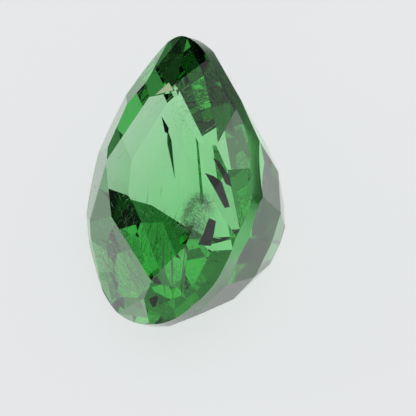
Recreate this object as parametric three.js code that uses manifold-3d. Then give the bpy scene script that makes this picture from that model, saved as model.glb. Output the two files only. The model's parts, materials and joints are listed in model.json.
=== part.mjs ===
// A faceted tsavorite garnet: a pear-like oval with a low crown and a stepped pavilion.
// Millimetres, +Z up. The stone lies on one facet of its pavilion, with the table leaning over.
//
// Each facet is one flat cut through a rough block that has the girdle's outline.
// The cuts are worked out in the stone's own axes: X across the stone, Y toward its narrow tip,
// Z out through the table, with zero in the middle of the girdle's thickness.

import * as THREE from 'three';
import { mergeVertices } from 'three/addons/utils/BufferGeometryUtils.js';
import Module from 'manifold-3d';

const wasm = await Module();
wasm.setup();

// Girdle outline, an egg shape made of two superellipses that share the widest line
const halfWidth = 3.757;
const tipReach = 5.316;
const footReach = 3.462;
const tipFullness = 1.907;
const footFullness = 1.624;
const outlineSteps = 120;

// Hand-cut unevenness of the outline, as shares of the radius
const unevenness = [
  { waves: 2, cosine: 0, sine: -0.014 },
  { waves: 3, cosine: 0.013, sine: -0.011 },
  { waves: 4, cosine: 0.003, sine: -0.004 },
  { waves: 5, cosine: 0.005, sine: 0.026 },
];

// Heights above the middle of the girdle
const tableHeight = 0.69;
const girdleBottom = -0.21;

// Crown mains, the wide facets between the table and the girdle.
// facing is the compass direction of the facet, in degrees from +X toward +Y,
// tableEdge the distance from the stone's axis to the facet's edge on the table,
// and slope its tilt from the table.
const crownMains = [
  { facing: 88.4, tableEdge: 3.58, slope: 15.2 },
  { facing: 132.6, tableEdge: 2.99, slope: 12.3 },
  { facing: 194.2, tableEdge: 1.85, slope: 11 },
  { facing: 223, tableEdge: 1.35, slope: 14.8 },
  { facing: 300, tableEdge: 1.93, slope: 15 },
  { facing: 332, tableEdge: 2.08, slope: 19 },
  { facing: 12.9, tableEdge: 2.3, slope: 13.5 },
  { facing: 38.9, tableEdge: 2.66, slope: 19.7 },
];

// Crown breaks, the steeper facets that stand on the girdle between the mains.
// foot is the height at which the facet meets the girdle.
const crownBreaks = [
  { facing: 50.5, slope: 20.2, foot: 0.16 },
  { facing: 107.5, slope: 22.1, foot: 0.1 },
  { facing: 125.7, slope: 28, foot: 0.05 },
  { facing: 144.5, slope: 27.5, foot: 0.12 },
  { facing: 168, slope: 24, foot: 0.15 },
  { facing: 195, slope: 32, foot: 0.15 },
  { facing: 208, slope: 30, foot: 0.13 },
  { facing: 250, slope: 26, foot: 0.12 },
  { facing: 278, slope: 26, foot: 0.12 },
  { facing: 315, slope: 25, foot: 0.1 },
  { facing: 350, slope: 24, foot: 0.08 },
  { facing: 22.1, slope: 25, foot: 0.12 },
];

// Pavilion, sixteen columns of step facets in three rows below the girdle.
// size is the row's lower outline as a share of the girdle's outline.
const columnCount = 16;
const pavilionRows = [
  { depth: 1.93, size: 0.7225 },
  { depth: 3.14, size: 0.4225 },
  { depth: 4.17, size: 0.03 },
];

// The side that the stone lies on is cut steeper and deeper than the rest
const undersideRows = [
  { depth: 2.4, size: 0.695 },
  { depth: 3.3, size: 0.47 },
  { depth: 4.4, size: 0.02 },
];

// Columns on that side. One wide facet takes the place of the lower rows in three of them.
// shift is how far the column is turned from the even spacing, in degrees.
const undersideColumns = [
  { column: 6, shift: 0, rowCount: 3 },
  { column: 7, shift: 11, rowCount: 1 },
  { column: 8, shift: 6, rowCount: 1 },
  { column: 9, shift: 0, rowCount: 1 },
];

// The wide facet, which the stone rests on. reach is its distance from the middle of the girdle,
// and turnOnRestingFacet lines the stone's length up with +Y.
const restingFacet = { facing: 210, slope: 50, reach: 3.0 };
const turnOnRestingFacet = -16.9;

// Blocks that cut the facets are larger than the stone, and the rough block reaches past its finished ends
const cutterSize = 40;
const roughMargin = 2;

const weldDistance = 1e-4;
const nudge = 1e-3;
const crystalColour = 0x2fae62;
const crystalRoughness = 0.05;

const radians = THREE.MathUtils.degToRad;

function signedPower(value, power) {
  return Math.sign(value) * Math.abs(value) ** power;
}

function outlinePoint(turn) {
  const towardTip = Math.sin(turn) > 0;
  const reach = towardTip ? tipReach : footReach;
  const fullness = towardTip ? tipFullness : footFullness;
  let radiusShare = 1;
  for (const { waves, cosine, sine } of unevenness) {
    radiusShare += cosine * Math.cos(waves * turn) + sine * Math.sin(waves * turn);
  }
  const across = halfWidth * signedPower(Math.cos(turn), 2 / fullness);
  const along = reach * signedPower(Math.sin(turn), 2 / fullness);
  return new THREE.Vector2(across, along).multiplyScalar(radiusShare);
}

function outlineFacing(turn) {
  const before = outlinePoint(turn - nudge);
  const after = outlinePoint(turn + nudge);
  const run = after.sub(before).normalize();
  return new THREE.Vector2(run.y, -run.x);
}

function outlinePoints() {
  const points = [];
  for (let step = 0; step < outlineSteps; step += 1) {
    points.push(outlinePoint((2 * Math.PI * step) / outlineSteps));
  }
  return points;
}

// Distance from the axis to the outermost point of the outline in one direction
function outlineReach(direction) {
  return Math.max(...outlinePoints().map((point) => point.dot(direction)));
}

function solidFrom(geometry) {
  geometry.deleteAttribute('normal');
  geometry.deleteAttribute('uv');
  const merged = mergeVertices(geometry, weldDistance);
  const mesh = new wasm.Mesh({
    numProp: 3,
    vertProperties: new Float32Array(merged.getAttribute('position').array),
    triVerts: new Uint32Array(merged.getIndex().array),
  });
  return new wasm.Manifold(mesh);
}

function geometryFrom(solid) {
  const mesh = solid.getMesh();
  const geometry = new THREE.BufferGeometry();
  geometry.setAttribute('position', new THREE.BufferAttribute(mesh.vertProperties, 3));
  geometry.setIndex(new THREE.BufferAttribute(mesh.triVerts, 1));
  return geometry;
}

// The rough block: the girdle's outline, as tall as the finished stone and a little more
function roughBlock() {
  const deepest = pavilionRows[pavilionRows.length - 1].depth;
  const bottom = -deepest - roughMargin;
  const top = tableHeight + roughMargin;
  const geometry = new THREE.ExtrudeGeometry(new THREE.Shape(outlinePoints()), {
    depth: top - bottom,
    bevelEnabled: false,
  });
  geometry.translate(0, 0, bottom);
  return solidFrom(geometry);
}

// Takes away everything outside the plane through a point with the given outward normal
function cutFacet(solid, { point, normal }) {
  const geometry = new THREE.BoxGeometry(cutterSize, cutterSize, cutterSize);
  const outward = new THREE.Quaternion().setFromUnitVectors(new THREE.Vector3(0, 0, 1), normal);
  geometry.translate(0, 0, cutterSize / 2);
  geometry.applyQuaternion(outward);
  geometry.translate(point.x, point.y, point.z);
  return solid.subtract(solidFrom(geometry));
}

// A plane that faces one compass direction and is tilted up by the slope
function slopedPlane(direction, slope, distance, height) {
  const flat = Math.sin(slope);
  return {
    point: new THREE.Vector3(direction.x * distance, direction.y * distance, height),
    normal: new THREE.Vector3(direction.x * flat, direction.y * flat, Math.cos(slope)),
  };
}

function compass(facing) {
  return new THREE.Vector2(Math.cos(radians(facing)), Math.sin(radians(facing)));
}

function crownMainPlane({ facing, tableEdge, slope }) {
  return slopedPlane(compass(facing), radians(slope), tableEdge, tableHeight);
}

function crownBreakPlane({ facing, slope, foot }) {
  const direction = compass(facing);
  return slopedPlane(direction, radians(slope), outlineReach(direction), foot);
}

// Facet of one pavilion row, hinged on the lower edge of the row above
function pavilionPlane(rows, row, turn) {
  const upper = row === 0 ? { depth: -girdleBottom, size: 1 } : rows[row - 1];
  const lower = rows[row];
  const direction = outlineFacing(turn);
  const reach = outlinePoint(turn).dot(direction);
  const inward = reach * (upper.size - lower.size);
  const slope = Math.PI - Math.atan2(lower.depth - upper.depth, inward);
  return slopedPlane(direction, slope, reach * upper.size, -upper.depth);
}

function restingPlane() {
  const { facing, slope, reach } = restingFacet;
  const { normal } = slopedPlane(compass(facing), Math.PI - radians(slope), 0, 0);
  return { point: normal.clone().multiplyScalar(reach), normal };
}

function cutCrown(rough) {
  let solid = cutFacet(rough, slopedPlane(compass(0), 0, 0, tableHeight));
  for (const main of crownMains) {
    solid = cutFacet(solid, crownMainPlane(main));
  }
  for (const crownBreak of crownBreaks) {
    solid = cutFacet(solid, crownBreakPlane(crownBreak));
  }
  return solid;
}

function cutPavilion(rough) {
  let solid = cutFacet(rough, restingPlane());
  for (let column = 0; column < columnCount; column += 1) {
    const underside = undersideColumns.find((entry) => entry.column === column);
    const rows = underside ? undersideRows : pavilionRows;
    const rowCount = underside ? underside.rowCount : rows.length;
    const shift = underside ? underside.shift : 0;
    const turn = radians((360 * (column + 0.5)) / columnCount + shift);
    for (let row = 0; row < rowCount; row += 1) {
      solid = cutFacet(solid, pavilionPlane(rows, row, turn));
    }
  }
  return solid;
}

function crystalMaterial() {
  return new THREE.MeshStandardMaterial({
    color: crystalColour,
    roughness: crystalRoughness,
    metalness: 0,
    flatShading: true,
  });
}

// Turns the stone so that its resting facet lies flat on the ground
function layDown(geometry) {
  const down = new THREE.Vector3(0, 0, -1);
  geometry.applyQuaternion(new THREE.Quaternion().setFromUnitVectors(restingPlane().normal, down));
  geometry.rotateZ(radians(turnOnRestingFacet));
  geometry.computeBoundingBox();
  const { min, max } = geometry.boundingBox;
  geometry.translate(-(min.x + max.x) / 2, -(min.y + max.y) / 2, -min.z);
}

function tsavorite() {
  const geometry = geometryFrom(cutPavilion(cutCrown(roughBlock())));
  layDown(geometry);
  const mesh = new THREE.Mesh(geometry, crystalMaterial());
  mesh.name = 'tsavorite';
  return mesh;
}

const stone = new THREE.Group();
stone.add(tsavorite());

export default stone;
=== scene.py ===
import json
import math
import random

import bmesh
import bpy
from mathutils import Matrix, Vector
from mathutils.bvhtree import BVHTree


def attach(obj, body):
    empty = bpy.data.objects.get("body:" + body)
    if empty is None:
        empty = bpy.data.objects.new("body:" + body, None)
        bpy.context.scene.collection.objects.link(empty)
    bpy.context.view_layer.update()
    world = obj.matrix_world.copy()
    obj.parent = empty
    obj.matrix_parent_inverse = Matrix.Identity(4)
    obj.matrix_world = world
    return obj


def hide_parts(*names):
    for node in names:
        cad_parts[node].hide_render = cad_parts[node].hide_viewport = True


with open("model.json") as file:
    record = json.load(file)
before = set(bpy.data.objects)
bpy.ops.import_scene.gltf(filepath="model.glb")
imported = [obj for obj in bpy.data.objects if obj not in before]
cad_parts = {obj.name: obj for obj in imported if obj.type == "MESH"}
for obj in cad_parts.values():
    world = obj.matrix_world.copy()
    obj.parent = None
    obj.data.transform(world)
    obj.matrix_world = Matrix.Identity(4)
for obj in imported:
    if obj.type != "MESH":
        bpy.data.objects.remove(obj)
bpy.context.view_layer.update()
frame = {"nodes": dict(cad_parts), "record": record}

STONE = "tsavorite"
TABLE_MOUNT = "table"
MOUNT_DIGITS = 6
MM = 0.001

# Camera, as far off and as high as the photograph's. Sensor and lens are in Blender's millimetres.
CAMERA_DISTANCE = 182 * MM
CAMERA_ELEVATION = math.radians(54)
CAMERA_ROLL = math.radians(3.2)
CAMERA_TARGET = Vector((0.706, 0.726, 0.989)) * MM
SENSOR_WIDTH = 36
LENS = 519
CLIP_START = 1 * MM
CLIP_END = 10
LIGHT_BOUNCES = 32

# Crystal. A facet's lean is the part of its normal along the stone's axis, 1 on the table
# and 0 on the girdle, and a facet is part of the girdle where it leans less than GIRDLE_LEAN.
CLEAR = (1, 1, 1, 1)
GARNET_IOR = 1.74
ABSORPTION_COLOUR = (0.096, 0.885, 0.2, 1)
ABSORPTION_DENSITY = 260
SAME_PLANE = math.radians(0.6)
WELD_DISTANCE = 0.0001 * MM
NORMAL_DIGITS = 3
GIRDLE_LEAN = 0.05

# Coat, which makes some facets mirror more strongly. Those facets are found by how they lean,
# and by the parts of their normal across the table and along it toward the tip.
COAT_IOR = 2.6
COAT_WEIGHT = 0.85
LEFT_COAT = 1.0
LEFT_LEAN = math.cos(math.radians(9))
LEFT_ACROSS = -0.15
LOWER_LEFT_COAT = 0.5
LOWER_LEFT_LEAN = math.cos(math.radians(20))
LOWER_LEFT_ALONG = -0.05
RIGHT_COAT = 0.75
RIGHT_LEAN = math.cos(math.radians(22))
RIGHT_ACROSS = 0.3
FOOT_COAT = 1.0
FOOT_ALONG = -0.6

# Polish. Fine scratches and small pits are bumps in it, and the girdle has a duller finish.
# The depths are in bump heights, and the turns are those of the two sets of scratches.
POLISH_ROUGHNESS = 0.0
GIRDLE_ROUGHNESS = 0.22
SCRATCH_TURNS = [(0.3, 0.5, 0.9), (0.9, -0.4, 2.2)]
SCRATCHES_ACROSS = 26 / MM
SCRATCHES_ALONG = 0.9 / MM
SCRATCH_EDGES = (0.69, 0.73)
SCRATCH_DETAIL = 2.0
SCRATCH_DEPTH = 1
PITS_PER_LENGTH = 3.2 / MM
PIT_EDGES = (0.02, 0.1)
PIT_DEPTH = 2
BUMP_HEIGHT = 0.004 * MM
BUMP_STRENGTH = 0.16

# Floor, an opal sheet that glows a little, as a light table does.
# Its polished top mirrors the room where it is looked at along the sheet.
FLOOR_SIZE = 400 * MM
FLOOR_DROP = 0.02 * MM
FLOOR_COLOUR = (0.5, 0.505, 0.51, 1)
FLOOR_GLOW_COLOUR = (0.985, 1.0, 1.01, 1)
FLOOR_GLOW = 0.66
FLOOR_ROUGHNESS = 0.6
GLOSS_STARTS = 0.58
GLOSS_FULL = 0.75
GLOSS_MOST = 0.97
GLOSS_ROUGHNESS = 0.03

# Room, a dim soft light with wide brighter and darker parts.
# direction is counted from +X toward +Y, height above the horizon, both in degrees.
ROOM_COLOUR = (0.98, 0.99, 1.0, 1)
ROOM_STRENGTH = 0.22
ROOM_LEAST = 0.012
ROOM_PARTS = [
    dict(direction=35, height=45, half_width=25, softness=14, strength=0.25),
    dict(direction=257, height=42, half_width=17, softness=7, strength=0.25),
    dict(direction=266, height=20, half_width=9, softness=5, strength=0.4),
    dict(direction=176, height=28, half_width=11, softness=5, strength=0.25),
    dict(direction=194, height=17, half_width=8, softness=5, strength=0.3),
    dict(direction=183, height=4, half_width=9, softness=4, strength=0.5),
    dict(direction=295, height=8, half_width=16, softness=8, strength=0.15),
    dict(direction=352, height=45, half_width=20, softness=10, strength=0.1),
    dict(direction=148, height=38, half_width=12, softness=3, strength=0.42),
    dict(direction=95, height=4, half_width=24, softness=9, strength=-0.3),
    dict(direction=140, height=3, half_width=20, softness=6, strength=-0.3),
    dict(direction=230, height=9, half_width=23, softness=6, strength=-0.22),
    dict(direction=345, height=4, half_width=16, softness=8, strength=-0.2),
]

# Flaws inside the crystal, in millimetres and degrees. Each place is across the table from its
# middle, along it toward the tip, and below the polished surface there. That surface is found
# by a ray that starts over the table.
RANDOM_SEED = 7
RAY_START = 1 * MM
SPINDLE_SIDES = 6
FLAKE_SIDES = 5
FLAKE_FLATNESS = 0.25

# Needles, pointed at both ends. belly is how far along the needle it is thickest.
NEEDLES = [
    dict(start=(0.76, 1.93, 0.13), end=(0.86, 1.25, 0.18), thickness=0.2, belly=0.8, look="dark"),
    dict(start=(0.87, 1.4, 0.18), end=(0.72, -0.28, 0.27), thickness=0.2, belly=0.25, look="green"),
    dict(start=(-0.24, -1.65, 0.35), end=(-0.99, -3.32, 0.4), thickness=0.13, belly=0.5, look="mint"),
    dict(start=(0.09, -1.9, 0.4), end=(-0.8, -3.55, 0.4), thickness=0.08, belly=0.4, look="mint"),
    dict(start=(0.46, -2.38, 0.45), end=(-0.4, -3.59, 0.4), thickness=0.1, belly=0.6, look="mint"),
]

# Fractures, thin flat plates that lie along the table
FRACTURE_DEPTH = 0.05
FRACTURE_THICKNESS = 0.012
FRACTURE_LOOK = "smoky"
FRACTURES = [
    [(2.42, -0.48), (2.59, -0.67), (2.78, -1.24), (2.73, -1.61), (2.6, -1.45), (2.56, -1.07)],
    [(2.05, -0.81), (2.31, -1.05), (2.51, -1.35), (2.46, -2.14), (2.31, -2.11), (2.22, -1.41)],
    [(1.73, -2.16), (1.9, -2.34), (1.69, -2.63), (1.43, -2.92), (1.06, -2.71), (1.33, -2.52)],
]

# A fracture that flashes like a mirror, by the tip. Its lean is how far its face turns across and along.
FLASH_DEPTH = 0.13
FLASH_LEAN = (0.26, 0.16)
FLASH_LOOK = "flash"
FLASHES = [
    [(0.66, 2.72), (1.39, 2.44), (1.21, 2.85)],
    [(1.43, 2.45), (1.48, 2.21), (1.56, 2.42)],
]

# Veils of tiny flakes. Each curls round its middle, from start to end.
VEIL_DEPTHS = (0.1, 0.6)
FLAKE_RADII = (0.007, 0.014)
VEILS = [
    dict(middle=(1.3, -1.7), radius=0.4, start=-20, end=150, scatter=0.1, count=2400, look="pale"),
    dict(middle=(0.95, -1.75), radius=0.25, start=60, end=330, scatter=0.08, count=1500, look="pale"),
    dict(middle=(1.15, -1.85), radius=0.1, start=0, end=360, scatter=0.36, count=3400, look="pale"),
    dict(middle=(1.1, -2.0), radius=0.3, start=180, end=350, scatter=0.12, count=900, look="smoky"),
    dict(middle=(2.3, 1.7), radius=0.45, start=0, end=360, scatter=0.32, count=2600, look="smoky"),
]

# Groups of short fine strokes: where, how far they spread, and which way they run
STROKE_THICKNESS = 0.016
STROKE_BELLY = 0.5
STROKE_DEPTHS = (0.1, 0.45)
STROKE_TURN_SPREAD = 14
STROKES = [
    dict(middle=(-1.25, -1.25), spread=0.5, count=26, turn=60, length=(0.2, 0.9), look="dark"),
    dict(middle=(-0.75, -1.9), spread=0.4, count=18, turn=40, length=(0.2, 0.8), look="dark"),
    dict(middle=(-1.8, -0.5), spread=0.35, count=22, turn=75, length=(0.15, 0.6), look="pale"),
    dict(middle=(0.45, -2.1), spread=0.4, count=22, turn=10, length=(0.08, 0.3), look="dark"),
    dict(middle=(1.05, -3.1), spread=0.14, count=16, turn=30, length=(0.05, 0.15), look="pale"),
    dict(middle=(-0.1, -3.9), spread=0.16, count=16, turn=80, length=(0.05, 0.2), look="pale"),
]

# Worn facets, each named by a place on it. Tiny chips lie close under the surface there,
# no further than reach from that place. Points are on one facet where the cosine between
# their normals is over SAME_FACET.
SAME_FACET = 0.9995
TRIES_FOR_EACH = 12
CHIP_DEPTHS = (0.012, 0.03)
CHIP_RADII = (0.012, 0.02)
WORN_FACETS = [
    dict(at=(-0.09, 3.95), reach=1.7, count=260, look="pale"),
    dict(at=(-1.72, 3.09), reach=1.7, count=260, look="pale"),
    dict(at=(-2.74, 1.73), reach=2.0, count=420, look="pale"),
    dict(at=(-2.57, -1.41), reach=3.0, count=1100, look="mint"),
]

# The facet with long scratches, which run along it
SCRATCHED_FACET = dict(at=(-2.57, -1.41), reach=3.2, count=360, turn=118, length=(0.2, 1.1), look="pale")

# Looks of the flaws. Soft clouds darken each colour, at most to its share FLAW_DARKEST.
FLAW_CLOUDS_PER_LENGTH = 8 / MM
FLAW_DARKEST = 0.75
LOOKS = {
    "dark": dict(colour=(0.004, 0.008, 0.005), roughness=0.35, metallic=0),
    "smoky": dict(colour=(0.055, 0.09, 0.065), roughness=0.3, metallic=0),
    "flash": dict(colour=(0.86, 1.0, 0.64), roughness=0.08, metallic=1),
    "mint": dict(colour=(0.5, 0.95, 0.56), roughness=0.6, metallic=0),
    "green": dict(colour=(0.05, 0.32, 0.08), roughness=0.4, metallic=0),
    "pale": dict(colour=(0.88, 0.96, 0.86), roughness=0.7, metallic=0),
}


def new_material(name):
    material = bpy.data.materials.new(name)
    material.use_nodes = True
    nodes = material.node_tree.nodes
    nodes.clear()
    return material, nodes, material.node_tree.links


def between(nodes, links, value, low, high, to_low, to_high):
    """Soft step from one number to another, as the value goes from low to high"""
    step = nodes.new("ShaderNodeMapRange")
    step.interpolation_type = "SMOOTHSTEP"
    step.inputs["From Min"].default_value = low
    step.inputs["From Max"].default_value = high
    step.inputs["To Min"].default_value = to_low
    step.inputs["To Max"].default_value = to_high
    links.new(value, step.inputs["Value"])
    return step.outputs["Result"]


def summed(nodes, links, start, values):
    """Sum of a number and of several node outputs"""
    total = None
    for value in values:
        added = nodes.new("ShaderNodeMath")
        added.operation = "ADD"
        added.inputs[0].default_value = start
        if total is not None:
            links.new(total, added.inputs[0])
        links.new(value, added.inputs[1])
        total = added.outputs["Value"]
    return total


def face_share(nodes, links, name, to_low, to_high):
    """Number worked out from an attribute that the facets carry"""
    attribute = nodes.new("ShaderNodeAttribute")
    attribute.attribute_name = name
    return between(nodes, links, attribute.outputs["Fac"], 0, 1, to_low, to_high)


def stretched_noise(nodes, links, place, turn, scales):
    """Noise drawn out into thin lines that run one way"""
    mapping = nodes.new("ShaderNodeMapping")
    mapping.vector_type = "TEXTURE"
    mapping.inputs["Rotation"].default_value = turn
    mapping.inputs["Scale"].default_value = [1 / scale for scale in scales]
    links.new(place, mapping.inputs["Vector"])
    noise = nodes.new("ShaderNodeTexNoise")
    noise.inputs["Scale"].default_value = 1.0
    noise.inputs["Detail"].default_value = SCRATCH_DETAIL
    links.new(mapping.outputs["Vector"], noise.inputs["Vector"])
    return noise.outputs["Fac"]


def polish_height(nodes, links):
    """Height of the polished surface: scratches in two directions, and pits"""
    place = nodes.new("ShaderNodeTexCoord").outputs["Object"]
    scales = (SCRATCHES_ACROSS, SCRATCHES_ALONG, SCRATCHES_ALONG)
    marks = []
    for turn in SCRATCH_TURNS:
        lines = stretched_noise(nodes, links, place, turn, scales)
        marks.append(between(nodes, links, lines, *SCRATCH_EDGES, 0, -SCRATCH_DEPTH))
    cells = nodes.new("ShaderNodeTexVoronoi")
    cells.inputs["Scale"].default_value = PITS_PER_LENGTH
    links.new(place, cells.inputs["Vector"])
    marks.append(between(nodes, links, cells.outputs["Distance"], *PIT_EDGES, -PIT_DEPTH, 0))
    return summed(nodes, links, 0, marks)


def crystal_material():
    material, nodes, links = new_material("green_garnet")
    output = nodes.new("ShaderNodeOutputMaterial")
    surface = nodes.new("ShaderNodeBsdfPrincipled")
    surface.inputs["Base Color"].default_value = CLEAR
    surface.inputs["IOR"].default_value = GARNET_IOR
    surface.inputs["Transmission Weight"].default_value = 1.0
    finish = face_share(nodes, links, "girdle", POLISH_ROUGHNESS, GIRDLE_ROUGHNESS)
    links.new(finish, surface.inputs["Roughness"])
    coat = face_share(nodes, links, "coated", 0, COAT_WEIGHT)
    links.new(coat, surface.inputs["Coat Weight"])
    surface.inputs["Coat Roughness"].default_value = POLISH_ROUGHNESS
    surface.inputs["Coat IOR"].default_value = COAT_IOR
    bump = nodes.new("ShaderNodeBump")
    bump.inputs["Strength"].default_value = BUMP_STRENGTH
    bump.inputs["Distance"].default_value = BUMP_HEIGHT
    links.new(polish_height(nodes, links), bump.inputs["Height"])
    links.new(bump.outputs["Normal"], surface.inputs["Normal"])
    links.new(surface.outputs["BSDF"], output.inputs["Surface"])
    absorption = nodes.new("ShaderNodeVolumeAbsorption")
    absorption.inputs["Color"].default_value = ABSORPTION_COLOUR
    absorption.inputs["Density"].default_value = ABSORPTION_DENSITY
    links.new(absorption.outputs["Volume"], output.inputs["Volume"])
    return material


def flaw_material(look):
    material, nodes, links = new_material(f"flaw_{look}")
    output = nodes.new("ShaderNodeOutputMaterial")
    surface = nodes.new("ShaderNodeBsdfPrincipled")
    place = nodes.new("ShaderNodeTexCoord").outputs["Object"]
    cloud = nodes.new("ShaderNodeTexNoise")
    cloud.inputs["Scale"].default_value = FLAW_CLOUDS_PER_LENGTH
    links.new(place, cloud.inputs["Vector"])
    tint = nodes.new("ShaderNodeMix")
    tint.data_type = "RGBA"
    colour = LOOKS[look]["colour"]
    tint.inputs["A"].default_value = [value * FLAW_DARKEST for value in colour] + [1]
    tint.inputs["B"].default_value = [*colour, 1]
    links.new(cloud.outputs["Fac"], tint.inputs["Factor"])
    links.new(tint.outputs["Result"], surface.inputs["Base Color"])
    surface.inputs["Roughness"].default_value = LOOKS[look]["roughness"]
    surface.inputs["Metallic"].default_value = LOOKS[look]["metallic"]
    links.new(surface.outputs["BSDF"], output.inputs["Surface"])
    return material


def stone_axis(source):
    """Direction straight out through the table, the widest flat facet"""
    areas = {}
    for polygon in source.polygons:
        key = tuple(round(value, NORMAL_DIGITS) for value in polygon.normal)
        areas[key] = areas.get(key, 0) + polygon.area
    return Vector(max(areas, key=areas.get)).normalized()


def table_along(axis):
    return (Vector((0, 1, 0)) - axis * axis.y).normalized()


def table_across(axis):
    return table_along(axis).cross(axis)


def mount_place(name):
    """Place of one of the stone's mounts, rounded to a thousandth of a millimetre"""
    places = {mount["name"]: mount["pos_m"] for mount in frame["record"]["mounts"]}
    return Vector([round(value, MOUNT_DIGITS) for value in places[name]])


def new_piece(name, mesh):
    """An object of the part, which rides on its one body"""
    piece = bpy.data.objects.new(name, mesh)
    bpy.context.scene.collection.objects.link(piece)
    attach(piece, "root")
    return piece


def coat_share(lean, across, along):
    """Share of the coat on a facet, from its lean and the parts of its normal across and along"""
    on_crown = lean > GIRDLE_LEAN
    on_girdle = abs(lean) < GIRDLE_LEAN
    if on_crown and lean < RIGHT_LEAN and across > RIGHT_ACROSS:
        return RIGHT_COAT
    if on_crown and lean < LEFT_LEAN and across < LEFT_ACROSS:
        on_lower_left = lean > LOWER_LEFT_LEAN and along < LOWER_LEFT_ALONG
        return LOWER_LEFT_COAT if on_lower_left else LEFT_COAT
    if on_girdle and along < FOOT_ALONG:
        return FOOT_COAT
    return 0.0


def mark_facets(work, axis):
    """Marks each facet as girdle or not, and with its share of the coat"""
    girdle = work.faces.layers.float.new("girdle")
    coated = work.faces.layers.float.new("coated")
    across = table_across(axis)
    along = table_along(axis)
    for face in work.faces:
        lean = face.normal.dot(axis)
        face.smooth = True
        face[girdle] = float(abs(lean) < GIRDLE_LEAN)
        face[coated] = coat_share(lean, face.normal.dot(across), face.normal.dot(along))
    for edge in work.edges:
        edge.smooth = all(face[girdle] > 0 for face in edge.link_faces)


def stone(axis):
    """The cut stone, with flat facets and a smoothly rounded girdle"""
    mesh = bpy.data.meshes.new("cut_stone")
    work = bmesh.new()
    work.from_mesh(frame["nodes"][STONE].data)
    bmesh.ops.remove_doubles(work, verts=work.verts, dist=WELD_DISTANCE)
    bmesh.ops.dissolve_limit(work, angle_limit=SAME_PLANE, verts=work.verts, edges=work.edges)
    work.normal_update()
    mark_facets(work, axis)
    work.to_mesh(mesh)
    work.free()
    mesh.materials.append(crystal_material())
    piece = new_piece("cut_stone", mesh)
    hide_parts(STONE)
    return piece


class Table:
    """Turns a place across, along and below the table into a point inside the stone"""

    def __init__(self, piece, axis):
        self.axis = axis
        self.along = table_along(axis)
        self.across = table_across(axis)
        self.middle = mount_place(TABLE_MOUNT)
        self.tree = BVHTree.FromObject(piece, bpy.context.evaluated_depsgraph_get())

    def point(self, across, along, below):
        """The point and the facet's normal over it, or None twice beside the stone"""
        above = self.middle + (self.across * across + self.along * along) * MM + self.axis * RAY_START
        surface, normal, _, _ = self.tree.ray_cast(above, -self.axis)
        if surface is None:
            return None, None
        return surface - self.axis * below * MM, normal


def ring(centre, normal, radius, sides):
    """Corners of a regular polygon round a centre"""
    side = normal.orthogonal().normalized()
    other = normal.cross(side).normalized()
    corners = []
    for step in range(sides):
        turn = 2 * math.pi * step / sides
        corners.append(centre + (side * math.cos(turn) + other * math.sin(turn)) * radius * MM)
    return corners


def add_solid(solids, corners, faces):
    first = len(solids["corners"])
    solids["corners"].extend(corners)
    solids["faces"].extend([tuple(first + index for index in face) for face in faces])


def add_double_cone(solids, rim, near, far):
    """A closed solid with a rim and a point on each side. Seen from far, the rim runs anticlockwise."""
    sides = len(rim)
    faces = []
    for step in range(sides):
        following = (step + 1) % sides
        faces.append((following, step, sides))
        faces.append((step, following, sides + 1))
    add_solid(solids, rim + [near, far], faces)


def add_spindle(solids, start, end, thickness, belly):
    """A needle, pointed at both ends and thickest at its belly"""
    run = end - start
    rim = ring(start + run * belly, run, thickness / 2, SPINDLE_SIDES)
    add_double_cone(solids, rim, start, end)


def add_flake(solids, centre, normal, radius):
    """A small flat flake, pointed a little on both sides"""
    peak = normal * radius * MM * FLAKE_FLATNESS
    rim = ring(centre, normal, radius, FLAKE_SIDES)
    add_double_cone(solids, rim, centre - peak, centre + peak)


def add_plate(solids, outline, thickness):
    """A flat plate with the given outline, and with a vector for its thickness"""
    count = len(outline)
    lower = [corner - thickness for corner in outline]
    faces = [tuple(reversed(range(count))), tuple(range(count, 2 * count))]
    for step in range(count):
        following = (step + 1) % count
        faces.append((step, following, count + following, count + step))
    add_solid(solids, outline + lower, faces)


def add_needles(solids, table):
    for needle in NEEDLES:
        start, _ = table.point(*needle["start"])
        end, _ = table.point(*needle["end"])
        add_spindle(solids[needle["look"]], start, end, needle["thickness"], needle["belly"])


def add_fractures(solids, table):
    for outline in FRACTURES:
        corners = [table.point(across, along, FRACTURE_DEPTH)[0] for across, along in outline]
        add_plate(solids[FRACTURE_LOOK], corners, table.axis * FRACTURE_THICKNESS * MM)


def add_flash(solids, table):
    """Mirror-bright plates on one plane that leans from the table"""
    lean_across, lean_along = FLASH_LEAN
    facing = (table.axis + table.across * lean_across + table.along * lean_along).normalized()
    middle, _ = table.point(*FLASHES[0][0], FLASH_DEPTH)
    for outline in FLASHES:
        corners = []
        for across, along in outline:
            corner, _ = table.point(across, along, FLASH_DEPTH)
            corners.append(corner - table.axis * (corner - middle).dot(facing) / table.axis.dot(facing))
        add_plate(solids[FLASH_LOOK], corners, facing * FRACTURE_THICKNESS * MM)


def any_direction(chance):
    return Vector([chance.gauss(0, 1) for _ in range(3)]).normalized()


def add_veils(solids, table, chance):
    for veil in VEILS:
        for _ in range(veil["count"]):
            turn = math.radians(chance.uniform(veil["start"], veil["end"]))
            across = veil["middle"][0] + veil["radius"] * math.cos(turn) + chance.gauss(0, veil["scatter"])
            along = veil["middle"][1] + veil["radius"] * math.sin(turn) + chance.gauss(0, veil["scatter"])
            centre, _ = table.point(across, along, chance.uniform(*VEIL_DEPTHS))
            facing = any_direction(chance)
            radius = chance.uniform(*FLAKE_RADII)
            if centre is not None:
                add_flake(solids[veil["look"]], centre, facing, radius)


def stroke_run(group, chance):
    """How far a stroke of a group runs across and along"""
    turn = math.radians(group["turn"] + chance.gauss(0, STROKE_TURN_SPREAD))
    length = chance.uniform(*group["length"])
    return length * math.cos(turn), length * math.sin(turn)


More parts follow.
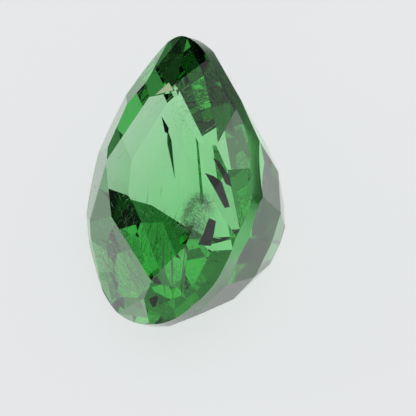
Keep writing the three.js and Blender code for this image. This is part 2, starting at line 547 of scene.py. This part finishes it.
def add_strokes(solids, table, chance):
    for group in STROKES:
        for _ in range(group["count"]):
            across = group["middle"][0] + chance.gauss(0, group["spread"])
            along = group["middle"][1] + chance.gauss(0, group["spread"])
            run_across, run_along = stroke_run(group, chance)
            below = chance.uniform(*STROKE_DEPTHS)
            start, _ = table.point(across, along, below)
            end, _ = table.point(across + run_across, along + run_along, below)
            if start is not None and end is not None:
                add_spindle(solids[group["look"]], start, end, STROKE_THICKNESS, STROKE_BELLY)


def places_on_facet(table, facet, chance):
    """Random places on the one facet that the given place is on, with the facet's normal"""
    _, own = table.point(*facet["at"], 0)
    found = 0
    for _ in range(facet["count"] * TRIES_FOR_EACH):
        across = facet["at"][0] + chance.uniform(-facet["reach"], facet["reach"])
        along = facet["at"][1] + chance.uniform(-facet["reach"], facet["reach"])
        _, normal = table.point(across, along, 0)
        if normal is not None and normal.dot(own) > SAME_FACET:
            found += 1
            yield across, along, own
        if found == facet["count"]:
            return


def add_worn_facets(solids, table, chance):
    for facet in WORN_FACETS:
        for across, along, normal in places_on_facet(table, facet, chance):
            centre, _ = table.point(across, along, chance.uniform(*CHIP_DEPTHS))
            add_flake(solids[facet["look"]], centre, normal, chance.uniform(*CHIP_RADII))


def add_long_scratches(solids, table, chance):
    facet = SCRATCHED_FACET
    for across, along, own in places_on_facet(table, facet, chance):
        run_across, run_along = stroke_run(facet, chance)
        below = chance.uniform(*CHIP_DEPTHS)
        start, _ = table.point(across, along, below)
        end, normal = table.point(across + run_across, along + run_along, below)
        if end is not None and normal.dot(own) > SAME_FACET:
            add_spindle(solids[facet["look"]], start, end, STROKE_THICKNESS, STROKE_BELLY)


def flaws(table):
    """Needles, fractures, a milky veil, fine strokes and wear, one piece for each look"""
    chance = random.Random(RANDOM_SEED)
    solids = {look: {"corners": [], "faces": []} for look in LOOKS}
    add_needles(solids, table)
    add_fractures(solids, table)
    add_flash(solids, table)
    add_veils(solids, table, chance)
    add_strokes(solids, table, chance)
    add_worn_facets(solids, table, chance)
    add_long_scratches(solids, table, chance)
    for look, solid in solids.items():
        mesh = bpy.data.meshes.new(f"flaws_{look}")
        mesh.from_pydata(solid["corners"], [], solid["faces"])
        mesh.materials.append(flaw_material(look))
        new_piece(f"flaws_{look}", mesh)


def floor_material():
    """A glowing sheet, mixed to a mirror where it is looked at along its top"""
    material, nodes, links = new_material("pale_floor")
    output = nodes.new("ShaderNodeOutputMaterial")
    sheet = nodes.new("ShaderNodeBsdfPrincipled")
    sheet.inputs["Base Color"].default_value = FLOOR_COLOUR
    sheet.inputs["Roughness"].default_value = FLOOR_ROUGHNESS
    sheet.inputs["Specular IOR Level"].default_value = 0.0
    sheet.inputs["Emission Color"].default_value = FLOOR_GLOW_COLOUR
    sheet.inputs["Emission Strength"].default_value = FLOOR_GLOW
    gloss = nodes.new("ShaderNodeBsdfAnisotropic")
    gloss.inputs["Roughness"].default_value = GLOSS_ROUGHNESS
    facing = nodes.new("ShaderNodeLayerWeight").outputs["Facing"]
    mix = nodes.new("ShaderNodeMixShader")
    share = between(nodes, links, facing, GLOSS_STARTS, GLOSS_FULL, 0, GLOSS_MOST)
    links.new(share, mix.inputs["Fac"])
    links.new(sheet.outputs["BSDF"], mix.inputs[1])
    links.new(gloss.outputs["BSDF"], mix.inputs[2])
    links.new(mix.outputs["Shader"], output.inputs["Surface"])
    return material


def floor():
    bpy.ops.mesh.primitive_plane_add(size=FLOOR_SIZE, location=(0, 0, -FLOOR_DROP))
    plane = bpy.context.object
    plane.name = "floor"
    plane.data.materials.append(floor_material())


def aim(direction, height):
    turn = math.radians(direction)
    rise = math.radians(height)
    return Vector((math.cos(turn) * math.cos(rise), math.sin(turn) * math.cos(rise), math.sin(rise)))


def room_part(nodes, links, look, part):
    """One wide soft-edged round part of the room, brighter or darker than the rest"""
    facing = nodes.new("ShaderNodeVectorMath")
    facing.operation = "DOT_PRODUCT"
    facing.inputs[1].default_value = aim(part["direction"], part["height"])
    links.new(look, facing.inputs[0])
    outer = math.cos(math.radians(part["half_width"] + part["softness"]))
    inner = math.cos(math.radians(part["half_width"] - part["softness"]))
    return between(nodes, links, facing.outputs["Value"], outer, inner, 0, part["strength"])


def room():
    world = bpy.data.worlds.new("soft_room")
    bpy.context.scene.world = world
    world.use_nodes = True
    nodes = world.node_tree.nodes
    links = world.node_tree.links
    background = nodes["Background"]
    background.inputs["Color"].default_value = ROOM_COLOUR
    look = nodes.new("ShaderNodeTexCoord").outputs["Generated"]
    parts = [room_part(nodes, links, look, part) for part in ROOM_PARTS]
    least = nodes.new("ShaderNodeMath")
    least.operation = "MAXIMUM"
    least.inputs[1].default_value = ROOM_LEAST
    links.new(summed(nodes, links, ROOM_STRENGTH, parts), least.inputs[0])
    links.new(least.outputs["Value"], background.inputs["Strength"])


def camera():
    data = bpy.data.cameras.new("camera")
    data.lens = LENS
    data.sensor_width = SENSOR_WIDTH
    data.clip_start = CLIP_START
    data.clip_end = CLIP_END
    view = bpy.data.objects.new("camera", data)
    bpy.context.scene.collection.objects.link(view)
    level = Vector((1, 0, 0))
    rise = Vector((0, math.sin(CAMERA_ELEVATION), math.cos(CAMERA_ELEVATION)))
    back = level.cross(rise)
    right = level * math.cos(CAMERA_ROLL) - rise * math.sin(CAMERA_ROLL)
    up = level * math.sin(CAMERA_ROLL) + rise * math.cos(CAMERA_ROLL)
    place = Matrix((right, up, back)).transposed().to_4x4()
    place.translation = CAMERA_TARGET + back * CAMERA_DISTANCE
    view.matrix_world = place
    bpy.context.scene.camera = view


def main():
    scene = bpy.context.scene
    scene.view_settings.view_transform = "Standard"
    scene.cycles.max_bounces = LIGHT_BOUNCES
    scene.cycles.transmission_bounces = LIGHT_BOUNCES
    room()
    floor()
    axis = stone_axis(frame["nodes"][STONE].data)
    flaws(Table(stone(axis), axis))
    camera()


main()
